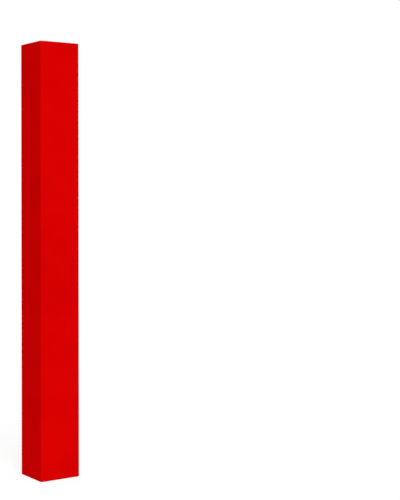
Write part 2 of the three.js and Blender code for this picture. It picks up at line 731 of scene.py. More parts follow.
HOOK_FINISH = TapeFinish(
    name="hook_tape",
    colour=(0.010, 0.010, 0.011),
    second_colour=(0.024, 0.024, 0.026),
    relief=0.10 * MILLIMETRE,
    yarn=0.6 * MILLIMETRE,
    pile=0.2,
)
LOOP_FINISH = TapeFinish(
    name="loop_tape",
    colour=(0.012, 0.012, 0.013),
    second_colour=(0.034, 0.034, 0.037),
    relief=0.30 * MILLIMETRE,
    yarn=0.8 * MILLIMETRE,
    pile=0.85,
)
THREAD_FINISH = ThreadFinish(
    name="sewing_thread",
    colour=(0.50, 0.002, 0.002),
    # Painted shade between the strands
    second_colour=(0.26, 0.001, 0.001),
    roughness=(0.55, 0.75),
    relief=0.08 * MILLIMETRE,
    shine=0.05,
    tinted_gloss=0.12,
    shine_tint=(1.0, 0.2, 0.2),
)


@dataclass(frozen=True)
class Palette:
    """The materials that the pieces share.

    Attributes:
        cover: of the outer cover, the flap and the caps.
        lining: of the linings.
        foam: of the foam boards.
        hooks: of the hook tape.
        loops: of the loop tape.
        thread: of the stitches.
    """

    cover: bpy.types.Material
    lining: bpy.types.Material
    foam: bpy.types.Material
    hooks: bpy.types.Material
    loops: bpy.types.Material
    thread: bpy.types.Material

    @classmethod
    def mixed(cls, sizes: PadSizes) -> "Palette":
        """Makes every material once.

        Args:
            sizes: the pad's sizes.

        Returns:
            The materials.
        """
        return cls(
            cover=COVER_FINISH.material(sizes),
            lining=LINING_FINISH.material(sizes),
            foam=FOAM_FINISH.material(),
            hooks=HOOK_FINISH.material(),
            loops=LOOP_FINISH.material(),
            thread=THREAD_FINISH.material(),
        )


@dataclass(frozen=True)
class Maker:
    """What every maker of pieces has.

    Attributes:
        sizes: the pad's sizes.
        palette: the materials.
    """

    sizes: PadSizes
    palette: Palette


def grey(level: float) -> Colour:
    """Returns a grey of a given brightness."""
    return level, level, level


def ripple(place: Vector) -> float:
    """Returns how far the cloth stands out over the uneven foam at a point of the pad at rest."""
    return RIPPLE / 2 * (1 + noise.noise(place * RIPPLE_WAVES))


def of_kind(items: list[Any], kind: type) -> list[Any]:
    """Returns the points, edges or faces among what an operator made."""
    return [item for item in items if isinstance(item, kind)]


def round_edges(mesh: bmesh.types.BMesh, edges: list[bmesh.types.BMEdge], radius: float) -> None:
    """Rounds some edges of a mesh.

    Args:
        mesh: that they belong to.
        edges: to round.
        radius: of the rounding.
    """
    bmesh.ops.bevel(
        mesh,
        geom=edges,
        offset=radius,
        offset_type="OFFSET",
        affect="EDGES",
        segments=EDGE_SEGMENTS,
        profile=0.5,
        material=-1,
        clamp_overlap=True,
    )


def slab(outline: Outline, outer: float, low: float, high: float) -> bmesh.types.BMesh:
    """Raises an outline into a closed slab.

    Args:
        outline: places across the front panel and depths below its outer face.
        outer: from the middle of the bore to an outer face.
        low: height of the slab's foot.
        high: height of its top.

    Returns:
        The slab's mesh, with its faces pointing out.
    """
    mesh = bmesh.new()
    foot = mesh.faces.new([mesh.verts.new((x, depth - outer, low)) for x, depth in outline])
    grown = bmesh.ops.extrude_face_region(mesh, geom=[foot])["geom"]
    raised = of_kind(grown, bmesh.types.BMVert)
    bmesh.ops.translate(mesh, verts=raised, vec=UPRIGHT * (high - low))
    bmesh.ops.recalc_face_normals(mesh, faces=mesh.faces)
    return mesh


def kept(name: str, mesh: bmesh.types.BMesh) -> bpy.types.Mesh:
    """Keeps a mesh that has been drawn.

    Args:
        name: of the kept mesh.
        mesh: the drawn one, which is used up.

    Returns:
        The kept mesh.
    """
    data = bpy.data.meshes.new(name)
    mesh.to_mesh(data)
    mesh.free()
    return data


def stamp(mesh: bmesh.types.BMesh, shape: bpy.types.Mesh, place: Matrix) -> None:
    """Adds a copy of a small shape to a mesh.

    Args:
        mesh: that the copy goes into.
        shape: the small shape, which is left as it was.
        place: where the copy goes and how it is turned.
    """
    shape.transform(place)
    mesh.from_mesh(shape)
    shape.transform(place.inverted())


def finished(
    name: str, mesh: bmesh.types.BMesh, side: Side, dress: bpy.types.Material, face: float = 0.0
) -> bpy.types.Object:
    """Turns a mesh to its side and makes a piece of it, with its place in its mesh.

    Args:
        name: of the piece.
        mesh: drawn as the front side's, and used up.
        side: that the piece belongs to.
        dress: the piece's finish.
        face: Y of the piece's widest upright face, from which its weave runs on round the corners.

    Returns:
        The piece, with a UV map in metres and each point's place at rest.
    """
    weave = mesh.loops.layers.uv.new(WEAVE_MAP)
    mesh.normal_update()
    for flat in mesh.faces:
        level = abs(flat.normal.z) > math.cos(LEVEL_TILT)
        for corner in flat.loops:
            x, y, z = corner.vert.co
            round_corner = x + math.copysign(abs(y - face), x)
            corner[weave].uv = (x, y) if level else (round_corner, z)
    bmesh.ops.transform(mesh, matrix=side.turn, verts=mesh.verts)
    data = kept(name, mesh)
    rest = data.attributes.new(REST_PLACE, "FLOAT_VECTOR", "POINT")
    for point, stored in zip(data.vertices, rest.data):
        stored.vector = point.co
    data.shade_smooth()
    data.set_sharp_from_angle(angle=SHARP_ANGLE)
    data.materials.append(dress)
    piece = bpy.data.objects.new(name, data)
    bpy.context.scene.collection.objects.link(piece)
    log.info("%s: %d faces", name, len(data.polygons))
    return piece


class Cloth:
    """One sheet of cloth: a line in plan that is raised into a wall and then thickened.

    Attributes:
        plain_step: about how far the line's points are apart where it stays flat.
        bent_step: about how far they are apart where it bends.
        arc_step: about how far the line turns from point to point on an arc, in radians.
        crease_angle: the least turn between two faces that counts as a crease, in radians.
    """

    plain_step = 24.0 * MILLIMETRE
    bent_step = 0.9 * MILLIMETRE
    arc_step = math.radians(11)
    crease_angle = math.radians(10)

    def __init__(self, sizes: PadSizes, x: float, depth: float) -> None:
        """Starts the line.

        Args:
            sizes: the pad's sizes.
            x: where the line starts, across the panel from its middle.
            depth: where it starts, below the outer face.
        """
        self.sizes = sizes
        self.mesh = bmesh.new()
        self.tip = self.mesh.verts.new((x, depth - sizes.outer, 0))
        self.start = self.tip.co.copy()
        self.width = 0.0
        self.length = 0.0

    def run(self, x: float, depth: float, step: float = plain_step) -> None:
        """Draws the line straight on.

        Args:
            x: where the stretch ends, across the panel.
            depth: where it ends, below the outer face.
            step: about how far its points are apart.
        """
        stretch = Vector((x, depth - self.sizes.outer, 0)) - self.tip.co
        self.width += stretch.length
        steps = max(round(stretch.length / step), 1)
        for _ in range(steps):
            self.tip = bmesh.ops.extrude_vert_indiv(self.mesh, verts=[self.tip])["verts"][0]
            bmesh.ops.translate(self.mesh, verts=[self.tip], vec=stretch / steps)

    def bend(self, x: float, depth: float, angle: float) -> None:
        """Draws the line on round a point.

        Args:
            x: the point's place across the panel.
            depth: the point's depth below the outer face.
            angle: how far the line turns, in radians, anticlockwise from above.
        """
        centre = Vector((x, depth - self.sizes.outer, 0))
        steps = round(abs(angle) / self.arc_step)
        self.width += (self.tip.co - centre).length * abs(angle)
        spun = bmesh.ops.spin(
            self.mesh, geom=[self.tip], cent=centre, axis=UPRIGHT, angle=angle, steps=steps
        )
        self.tip = of_kind(spun["geom_last"], bmesh.types.BMVert)[0]

    def rise(self, heights: list[float], facing: Vector) -> None:
        """Raises the line into a wall.

        Args:
            heights: of the wall's rows, from the lowest.
            facing: the way that the shown side of the line's first stretch faces.
        """
        self.length = heights[-1] - heights[0]
        bmesh.ops.translate(self.mesh, verts=self.mesh.verts, vec=UPRIGHT * heights[0])
        row = self.mesh.edges[:]
        for lower, upper in zip(heights, heights[1:]):
            grown = bmesh.ops.extrude_edge_only(self.mesh, edges=row)["geom"]
            points = of_kind(grown, bmesh.types.BMVert)
            bmesh.ops.translate(self.mesh, verts=points, vec=UPRIGHT * (upper - lower))
            new = set(points)
            row = [edge for edge in of_kind(grown, bmesh.types.BMEdge) if new.issuperset(edge.verts)]
        bmesh.ops.recalc_face_normals(self.mesh, faces=self.mesh.faces)
        corner = self.start + UPRIGHT * heights[0]
        first = min(self.mesh.faces, key=lambda face: (face.calc_center_median() - corner).length)
        if first.normal.dot(facing) < 0:
            bmesh.ops.reverse_faces(self.mesh, faces=self.mesh.faces)

    def soften(self, radius: float) -> None:
        """Rounds the creases of the wall."""
        creases = [edge for edge in self.mesh.edges if edge.calc_face_angle(0.0) > self.crease_angle]
        round_edges(self.mesh, creases, radius)

    def push(self, stands_out: Callable[[Vector], float]) -> None:
        """Moves each point of the wall straight out from it.

        Args:
            stands_out: gives the distance out for a point at rest.
        """
        self.mesh.normal_update()
        for point in self.mesh.verts:
            point.co += point.normal * stands_out(point.co)

    def thicken(self, thickness: float) -> None:
        """Gives the sheet its thickness, behind the side that shows."""
        bmesh.ops.solidify(self.mesh, geom=self.mesh.faces[:], thickness=thickness)


@dataclass(frozen=True)
class CoverMaker(Maker):
    """Makes the outer cover, which runs over the folds in one cloth.

    The cover is cut where nothing shows: the pieces meet flush, a little short of a fold.

    Attributes:
        seam_setback: from a fold's axis back to the cut beside it.
        bend_reach: how far from a fold's axis the cloth takes part in the fold.
        roll: radius at which the cover turns in at its top and its foot.
        roll_steps: how many rows shape that turn.
        stitch_inset: from the pad's top or foot to the line of stitches.
        stitch_dip: how deep the stitches draw the cloth in.
        stitch_spread: how far from the stitches the cloth is drawn in.
        dip_steps: how many rows shape the drawn-in cloth.
        end_radius: radius at which the cover turns over the right panel's free end.
        end_depth: how far the cover reaches down that end.
    """

    seam_setback: float = 9.0 * MILLIMETRE
    bend_reach: float = 5.5 * MILLIMETRE
    roll: float = 1.2 * MILLIMETRE
    roll_steps: int = 5
    stitch_inset: float = 10.0 * MILLIMETRE
    stitch_dip: float = 0.3 * MILLIMETRE
    stitch_spread: float = 2.2 * MILLIMETRE
    dip_steps: int = 10
    end_radius: float = 1.6 * MILLIMETRE
    end_depth: float = 2.7 * MILLIMETRE

    def heights(self) -> list[float]:
        """Works out the heights of the cover's rows, close together where it is shaped.

        Returns:
            The heights, from the lowest.
        """
        turns = [QUARTER_TURN * step / self.roll_steps for step in range(self.roll_steps + 1)]
        rolled = [self.sizes.foot + self.roll * (1 - math.sin(turn)) for turn in turns]
        half = self.dip_steps // 2
        drawn = [self.stitch_inset + self.stitch_spread * step / 2 for step in range(-half, half + 1)]
        low = sorted(rolled + drawn)
        high = [self.sizes.height - height for height in reversed(low)]
        count = round((high[0] - low[-1]) / Cloth.plain_step)
        plain = [low[-1] + (high[0] - low[-1]) * step / count for step in range(1, count)]
        return low + plain + high

    def stands_out(self, side: Side, place: Vector) -> float:
        """Works out how far the cover stands out of its flat face.

        Args:
            side: that the cloth is drawn for.
            place: a point of the cover, drawn as the front side's.

        Returns:
            The distance out, which is negative where the cover turns in.
        """
        level = min(place.z, self.sizes.height - place.z)
        past = max(self.sizes.foot + self.roll - level, 0.0)
        rolled = self.roll - math.sqrt(max(self.roll**2 - past**2, 0.0))
        drawn = math.exp(-(((level - self.stitch_inset) / self.stitch_spread) ** 2))
        return ripple(side.turn @ place) - rolled - self.stitch_dip * drawn

    def finish(self, cloth: Cloth, side: Side, name: str, facing: Vector) -> bpy.types.Object:
        """Raises a line of the cover and makes a piece of it.

        Args:
            cloth: the cover's line.
            side: that it is drawn for.
            name: of the piece.
            facing: the way that the line's first stretch faces.

        Returns:
            The piece.
        """
        cloth.rise(self.heights(), facing)
        cloth.push(partial(self.stands_out, side))
        cloth.thicken(self.sizes.cover)
        piece = finished(name, cloth.mesh, side, self.palette.cover, -self.sizes.outer)
        return piece

    def crease(self, cloth: Cloth, hand: Hand) -> None:
        """Draws the cover up to a fold, round it and a little on.

        Args:
            cloth: whose line has come along the outer face.
            hand: the end of the panel that the fold is at.
        """
        sizes = self.sizes
        way = hand.value
        cloth.run(way * (sizes.hinge - self.bend_reach), 0)
        cloth.run(way * sizes.hinge, 0, cloth.bent_step)
        cloth.bend(way * sizes.hinge, sizes.fold_radius, way * QUARTER_TURN)
        cloth.run(way * sizes.outer, sizes.fold_radius + self.bend_reach, cloth.bent_step)

    def over_fold(
        self, cloth: Cloth, side: Side, hand: Hand, name: str, nodes: list[str], foams: list[str]
    ) -> bpy.types.Object:
        """Makes a piece of a line of the cover that runs over a fold.

        Args:
            cloth: the cover's line.
            side: the panel that carries the fold.
            hand: the end of that panel that the fold is at.
            name: of the piece.
            nodes: that the piece replaces.
            foams: the foam boards that it is stretched over; not used.

        Returns:
            The piece, which runs round the fold.
        """
        before = self.sizes.hinge - self.bend_reach
        start = side.turn @ Vector((hand.value * before, -self.sizes.outer, 0))
        end = side.turn @ Vector((hand.value * self.sizes.outer, -before, 0))
        piece = self.finish(cloth, side, name, OUTWARD)
        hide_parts(*nodes)
        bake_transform(piece)
        return piece

    def front_and_left(self) -> bpy.types.Object:
        """Makes the cover of the front and left faces and the fold between them.

        Returns:
            The piece.
        """
        sizes = self.sizes
        seam = sizes.hinge - self.seam_setback
        cloth = Cloth(sizes, seam, 0)
        self.crease(cloth, Hand.LEFT)
        cloth.run(-sizes.outer, sizes.outer + seam)
        nodes = ["front_outer_cover", "left_outer_cover", "front_left_fold"]
        foams = ["front_foam", "left_foam"]
        return self.over_fold(cloth, Side.FRONT, Hand.LEFT, "front_and_left_cover", nodes, foams)

    def right(self) -> bpy.types.Object:
        """Makes the cover of the right face, its fold and its free end.

        Returns:
            The piece.
        """
        sizes = self.sizes
        end = sizes.taped
        cloth = Cloth(sizes, sizes.hinge - self.seam_setback, 0)
        self.crease(cloth, Hand.RIGHT)
        lean = math.atan(end.lean)
        turned = end.at(self.end_radius) - self.end_radius * math.cos(lean)
        cloth.run(sizes.outer, sizes.outer + turned)
        cloth.bend(sizes.outer - self.end_radius, sizes.outer + turned, QUARTER_TURN - lean)
        cloth.run(sizes.outer - self.end_depth, sizes.outer + end.at(self.end_depth))
        nodes = ["right_outer_cover", "front_right_fold"]
        foams = ["front_foam", "right_foam"]
        return self.over_fold(cloth, Side.FRONT, Hand.RIGHT, "right_cover", nodes, foams)

    def back(self, seam: float) -> bpy.types.Object:
        """Makes the cover of the back face and its fold.

        Args:
            seam: where the flap's cloth takes over, from the middle of the back.

        Returns:
            The piece.
        """
        sizes = self.sizes
        cloth = Cloth(sizes, self.seam_setback - sizes.hinge, 0)
        self.crease(cloth, Hand.LEFT)
        cloth.run(-sizes.outer, sizes.outer + seam)
        nodes = ["back_outer_cover", "back_left_fold"]
        return self.over_fold(cloth, Side.LEFT, Hand.LEFT, "back_cover", nodes, ["back_foam"])


@dataclass(frozen=True)
class CapMaker(Maker):
    """Makes the caps: cloth over the ends of a panel, with a raised seam round its edge.

    Attributes:
        thickness: of a cap with its seam.
        rim: from the outer face to a cap's edge.
        clearance: from a fold's axis to the cap.
        edge: radius of a cap's outer edge.
        seam: width of the raised seam.
        seam_rise: how far that seam stands out of the cap.
        seam_edge: radius of that seam's inner edges.
        seam_slope: how steeply the seam falls to the cap, in radians.
        stitch: from the raised seam to the stitches beside it.
        square: about how wide the squares are that a cap's mesh is cut into.
        swell: how far the foam lifts a cap in its middle.
        swell_reach: how far past the stitches the cap is lifted in full.
        swell_waves: how many waves its unevenness has to the metre.
        uneven_share: how much of the lift comes and goes with those waves.
    """

    thickness: float = 1.0 * MILLIMETRE
    rim: float = 0.15 * MILLIMETRE
    clearance: float = 1.2 * MILLIMETRE
    edge: float = 0.4 * MILLIMETRE
    seam: float = 1.4 * MILLIMETRE
    seam_rise: float = 0.42 * MILLIMETRE
    seam_edge: float = 0.12 * MILLIMETRE
    seam_slope: float = QUARTER_TURN / 2
    stitch: float = 2.2 * MILLIMETRE
    square: float = 3.5 * MILLIMETRE
    swell: float = 0.25 * MILLIMETRE
    swell_reach: float = 8.0 * MILLIMETRE
    swell_waves: float = 30.0
    uneven_share: float = 0.3

    def down(self, end: PanelEnd) -> Outline:
        """Works out a cap's points down an end, closer to a fold than the layers below it.

        Args:
            end: the panel's end.

        Returns:
            The points, from the cover to the bore.
        """
        sizes = self.sizes
        bore_side = (end.at(sizes.wall), sizes.wall)
        if end.cut is None:
            return [(end.at(self.rim), self.rim), bore_side]
        turn = sizes.fold_radius + self.edge
        return [(sizes.hinge - self.clearance, self.rim), (end.at(turn), turn), bore_side]

    def sides(self, side: Side) -> list[tuple[Vector, Vector]]:
        """Lists the straight sides of a cap's outline, drawn as the front panel's.

        Args:
            side: the panel's side.

        Returns:
            The start and end of each, in plan.
        """
        outline = self.sizes.outline(side, self.down)
        corners = [Vector((x, depth - self.sizes.outer, 0)) for x, depth in outline]
        return list(zip(corners, corners[1:] + corners[:1]))

    def lift(self, side: Side, place: Vector) -> float:
        """Works out how far the foam lifts a cap inside its raised seam.

        Args:
            side: that the cap is drawn for.
            place: a point of the cap.

        Returns:
            The lift, which is 0 from the seam to past the stitches.
        """
        rooms = []
        for here, there in self.sides(side):
            along = (there - here).xy.normalized()
            rooms.append(abs((place - here).xy.cross(along)))
        past = min(rooms) - self.seam - 2 * self.stitch
        share = min(max(past / self.swell_reach, 0.0), 1.0)
        wave = noise.noise(side.turn @ place * self.swell_waves)
        return self.swell * share * (2 - share) * (1 - self.uneven_share + self.uneven_share * wave)

    def creases(self, mesh: bmesh.types.BMesh, turn: float) -> list[bmesh.types.BMEdge]:
        """Finds the level edges on the upper side of a cap that turn by about an angle.

        Args:
            mesh: the cap's mesh.
            turn: the angle, in radians.

        Returns:
            The edges.
        """
        floor = self.sizes.height - self.seam_rise - self.edge
        found = []
        for edge in mesh.edges:
            low, high = sorted(point.co.z for point in edge.verts)
            off_turn = abs(edge.calc_face_angle(0.0) - turn)
            if low > floor and high - low < self.seam_edge and off_turn < self.seam_slope / 2:
                found.append(edge)
        return found

    def raise_seam(self, mesh: bmesh.types.BMesh, crown: bmesh.types.BMFace) -> None:
        """Sinks a cap inside its seam, and rounds the edges of what is left.

        Args:
            mesh: the cap's mesh, a plain slab.
            crown: its upper face.
        """
        run = self.seam_rise / math.tan(self.seam_slope)
        bmesh.ops.inset_region(mesh, faces=[crown], thickness=self.seam, use_even_offset=True)
        bmesh.ops.inset_region(
            mesh, faces=[crown], thickness=run, depth=-self.seam_rise, use_even_offset=True
        )
        seam = self.creases(mesh, self.seam_slope)
        rim = self.creases(mesh, QUARTER_TURN)
        round_edges(mesh, rim, self.edge)
        round_edges(mesh, seam, self.seam_edge)

    def divide(self, mesh: bmesh.types.BMesh) -> None:
        """Cuts a cap's mesh into small squares, so that it can swell.

        Args:
            mesh: the cap's mesh.
        """
        outer = self.sizes.outer
        for axis, low, high in ((ACROSS, -outer, outer), (-OUTWARD, -outer, -self.sizes.bore)):
            count = round((high - low) / self.square)
            for number in range(1, count):
                bmesh.ops.bisect_plane(
                    mesh,
                    geom=mesh.verts[:] + mesh.edges[:] + mesh.faces[:],
                    plane_co=axis * (low + (high - low) * number / count),
                    plane_no=axis,
                )

    def cap(self, side: Side, level: Level) -> bpy.types.Object:
        """Makes the cap over one end of a panel.

        Args:
            side: the panel's side.
            level: the end.

        Returns:
            The cap, with a raised seam round its edge.
        """
        sizes = self.sizes
        outline = sizes.outline(side, self.down)
        mesh = slab(outline, sizes.outer, sizes.height - self.thickness, sizes.height)
        crown = max(mesh.faces, key=lambda face: face.calc_center_median().z)
        area = crown.calc_area()
        self.raise_seam(mesh, crown)
        self.divide(mesh)
        for point in mesh.verts:
            if point.co.z > sizes.height - self.seam_rise - self.seam_edge:
                point.co.z += self.lift(side, point.co)
        if level is Level.BOTTOM:
            bmesh.ops.scale(mesh, verts=mesh.verts, vec=(1, 1, -1))
            bmesh.ops.translate(mesh, verts=mesh.verts, vec=UPRIGHT * sizes.height)
            bmesh.ops.recalc_face_normals(mesh, faces=mesh.faces)
        name = f"{side.label}_{level.label}_cap"
        piece = finished(f"{name}_cloth", mesh, side, self.palette.cover, -sizes.outer)
        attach(piece, side.body)
        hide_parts(name)
        width = 2 * max(abs(x) for x, _ in outline)
        return piece


@dataclass(frozen=True)
class BoardMaker(Maker):
    """Makes the foam boards.

    Attributes:
        caps: the maker of the caps, which the boards stay clear of.
        rim: from the outer face to the board as it is shown.
        inset: from an end's line to the board.
        edge: radius of the board's edges.
    """

    caps: CapMaker
    rim: float = 1.65 * MILLIMETRE
    inset: float = 0.95 * MILLIMETRE
    edge: float = 1.2 * MILLIMETRE

    def down(self, end: PanelEnd) -> Outline:
        """Works out a board's points down an end.

        Args:
            end: the panel's end.

        Returns:
            The points, from the cover to the bore.
        """
        deep = self.sizes.foam_back
        bore_side = (end.at(deep, self.inset), deep)
        if end.cut is None:
            return [(end.at(self.rim, self.inset), self.rim), bore_side]
        cut = end.cut - self.inset
        return [(cut, self.rim), (cut, end.knee(self.inset)), bore_side]

    def board(self, side: Side) -> bpy.types.Object:
        """Makes a panel's foam board.

        Args:
            side: the panel's side.

        Returns:
            The piece.
        """
        sizes = self.sizes
        foot = sizes.foot + self.caps.seam_rise
        mesh = slab(sizes.outline(side, self.down), sizes.outer, foot, sizes.height - foot)
        round_edges(mesh, mesh.edges[:], self.edge)
        piece = finished(f"{side.label}_foam", mesh, side, self.palette.foam, -sizes.outer)
        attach(piece, side.body)
        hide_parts(f"{side.label}_foam_board")
        return piece


@dataclass(frozen=True)
class LiningMaker(Maker):
    """Makes the linings, which cover a panel's bore side and both its ends.

    Attributes:
        cover: the maker of the cover, which turns over the right panel's free end.
        thickness: of the lining cloth.
        rim: from the outer face to the lining's edge.
        crease: radius of the lining's creases.
        row: about how far its rows of points are apart.
        billow_rise: from the panel's end to where the lining stands out in full.
        hem: how far the lining is turned in under the cover at the butted end.
    """

    cover: CoverMaker
    thickness: float = 0.6 * MILLIMETRE
    rim: float = 0.95 * MILLIMETRE
    crease: float = 1.6 * MILLIMETRE
    row: float = 45.0 * MILLIMETRE
    billow_rise: float = 20.0 * MILLIMETRE
    hem: float = 6.0 * MILLIMETRE

    def down(self, end: PanelEnd) -> Outline:
        """Works out the lining's points down an end.

        Args:
            end: the panel's end.

        Returns:
            The points, from the lining's edge to the bore.
        """
        wall = self.sizes.wall
        bore_side = (end.at(wall), wall)
        if end is self.sizes.mitred:
            return [(end.cut, self.rim), (end.cut, end.knee()), bore_side]
        if end is self.sizes.taped:
            rim = self.cover.end_depth + self.sizes.layer_gap / 2
            return [(end.at(rim), rim), bore_side]
        return [(end.at(self.rim) - self.hem, self.rim), (end.at(self.rim), self.rim), bore_side]

    def billow(self, side: Side, place: Vector) -> float:
        """Works out how far the lining stands out towards the bore.

        Args:
            side: that the lining is drawn for.
            place: a point of the lining, drawn as the front side's.

        Returns:
            The distance out, which is 0 at the panel's ends.
        """
        left, right = self.sizes.ends(side)
        depth = place.y + self.sizes.outer
        room = min(right.at(depth) - place.x, left.at(depth) + place.x)
        return ripple(side.turn @ place) * min(max(room / self.billow_rise, 0.0), 1.0)

    def lining(self, side: Side) -> bpy.types.Object:
        """Makes a panel's lining.

        Args:
            side: the panel's side.

        Returns:
            The piece.
        """
        sizes = self.sizes
        first, *rest = sizes.outline(side, self.down)
        cloth = Cloth(sizes, *first)
        for point in rest:
            cloth.run(*point)
        rise = sizes.height - 2 * sizes.foot
        rows = round(rise / self.row)
        heights = [sizes.foot + rise * row / rows for row in range(rows + 1)]
        cloth.rise(heights, OUTWARD if side is Side.BACK else -ACROSS)
        cloth.soften(self.crease)
        cloth.push(partial(self.billow, side))
        cloth.thicken(self.thickness)
        piece = finished(f"{side.label}_lining", cloth.mesh, side, self.palette.lining, -sizes.bore)
        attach(piece, side.body)
        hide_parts(f"{side.label}_inner_lining")
        return piece


@dataclass(frozen=True)
class Thread:
    """Sewing thread and how it is sewn.

    Attributes:
        stitch: length of a stitch that shows.
        pitch: from one stitch to the next.
        thickness: of the thread.
        stands_out_share: how much of its thickness shows above the cloth.
        unevenness: how far a stitch may be out of line.
        facets: how many faces a stitch has round it, and from end to end.
    """

    stitch: float = 3.6 * MILLIMETRE
    pitch: float = 4.8 * MILLIMETRE
    thickness: float = 0.75 * MILLIMETRE
    stands_out_share: float = 0.55
    unevenness: float = 0.12 * MILLIMETRE
    facets: tuple[int, int] = (6, 5)

    def one_stitch(self) -> bpy.types.Mesh:
        """Makes a stitch that lies along X, with its middle at the origin.

        Returns:
            The stitch's mesh.
        """
        mesh = bmesh.new()
        facets_round, facets_along = self.facets
        bmesh.ops.create_uvsphere(mesh, u_segments=facets_round, v_segments=facets_along, radius=0.5)
        bmesh.ops.rotate(mesh, verts=mesh.verts, matrix=Matrix.Rotation(QUARTER_TURN, 3, "Y"))
        bmesh.ops.scale(mesh, verts=mesh.verts, vec=(self.stitch, self.thickness, self.thickness))
        return kept("stitch", mesh)


class Stitching:
    """All the stitches that ride on one body."""

    def __init__(self, name: str, side: Side, thread: Thread, dress: bpy.types.Material) -> None:
        """Starts with no stitch.

        Args:
            name: of the piece.
            side: that the lines are drawn for.
            thread: its sizes.
            dress: the thread's finish.
        """
        self.name = name
        self.side = side
        self.thread = thread
        self.dress = dress
        self.mesh = bmesh.new()
        self.stitch = thread.one_stitch()
        self.chance = random.Random(name)

    def sew(
        self, start: Vector, end: Vector, outward: Vector, stands_out: Callable[[Vector], float]
    ) -> None:
        """Sews a straight line.

        Args:
            start: where the line starts, on the flat face.
            end: where it ends.
            outward: the way that the cloth faces.
            stands_out: how far the cloth stands out of the flat face at a point.
        """
        thread = self.thread
        along = (end - start).normalized()
        across = outward.cross(along)
        count = int((end - start).length / thread.pitch)
        spare = ((end - start).length - (count - 1) * thread.pitch) / 2
        rise = thread.thickness * (thread.stands_out_share - 0.5)
        for number in range(count):
            place = start + along * (spare + thread.pitch * number)
            place += across * self.chance.uniform(-thread.unevenness, thread.unevenness)
            place += outward * (stands_out(place) + rise)
            stand = Matrix((along, across, outward)).transposed().to_4x4()
            stand.translation = place
            stamp(self.mesh, self.stitch, stand)

    def piece(self, body: str) -> bpy.types.Object:
        """Makes the piece and lets it ride on a body.

        Args:
            body: the body's name.

        Returns:
            The piece.
        """
        made = finished(self.name, self.mesh, self.side, self.dress)
        bpy.data.meshes.remove(self.stitch)
        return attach(made, body)


@dataclass(frozen=True)
class PanelSewing(Maker):
    """Sews a panel's cover to its caps, and the cover's free edges to what lies below.

    Attributes:
        cover: the maker of the cover.
        caps: the maker of the caps.
        thread: the sewing thread.
        first_stitch: from a hinged end's cut to the nearest stitch along the top and foot.
        end_stitch: from the right panel's free end to the stitches beside it.
        shortest_sewn: length of the shortest side of a cap that is sewn.
    """

    cover: CoverMaker
    caps: CapMaker
    thread: Thread
    first_stitch: float = 4.0 * MILLIMETRE
    end_stitch: float = 5.0 * MILLIMETRE
    shortest_sewn: float = 10.0 * MILLIMETRE

    def sew_cover(self, sewn: Stitching, side: Side, flap_seam: float) -> None:
        """Sews the cover along the panel's foot, its top and its free edge.

        Args:
            sewn: that the stitches go into.
            side: the panel's side.
            flap_seam: from the middle of the bore to the stitches at the flap's root.
        """
        sizes = self.sizes
        right = sizes.mitred.cut - self.first_stitch
        left = -flap_seam if side is Side.BACK else -right
        low = self.cover.stitch_inset
        high = sizes.height - low
        lines = [((left, low), (right, low)), ((left, high), (right, high))]
        free_edges = {Side.BACK: -flap_seam, Side.RIGHT: sizes.taped.face - self.end_stitch}
        if side in free_edges:
            lines.append(((free_edges[side], low), (free_edges[side], high)))
        for line in lines:
            start, end = (Vector((x, -sizes.outer, z)) for x, z in line)
            sewn.sew(start, end, OUTWARD, partial(self.cover.stands_out, side))

    def sew_cap(self, sewn: Stitching, side: Side, level: Level) -> None:
        """Sews a cap inside its raised seam.

        Args:
            sewn: that the stitches go into.
            side: the panel's side.
            level: the panel's end.
        """
        caps = self.caps
        inset = caps.seam + caps.stitch
        half = self.sizes.height / 2
        height = UPRIGHT * (half + level.value * (half - caps.seam_rise))
        sides = caps.sides(side)
        middle = sum((here for here, _ in sides), Vector()) / len(sides)
        for here, there in sides:
            if (there - here).length < self.shortest_sewn:
                continue
            along = (there - here).normalized()
            inward = UPRIGHT.cross(along)
            inward *= math.copysign(inset, inward.dot(middle - here))
            start = here + inward + height + along * 2 * inset
            end = there + inward + height - along * 2 * inset
            sewn.sew(start, end, UPRIGHT * level.value, partial(caps.lift, side))

    def panel(self, side: Side, flap_seam: float) -> bpy.types.Object:
        """Sews everything that is sewn on a panel.

        Args:
            side: the panel's side.
            flap_seam: from the middle of the bore to the stitches at the flap's root.

        Returns:
            The stitches.
        """
        sewn = Stitching(f"{side.label}_stitching", side, self.thread, self.palette.thread)
        self.sew_cover(sewn, side, flap_seam)
        self.sew_cap(sewn, side, Level.TOP)
        self.sew_cap(sewn, side, Level.BOTTOM)
        return sewn.piece(side.body)


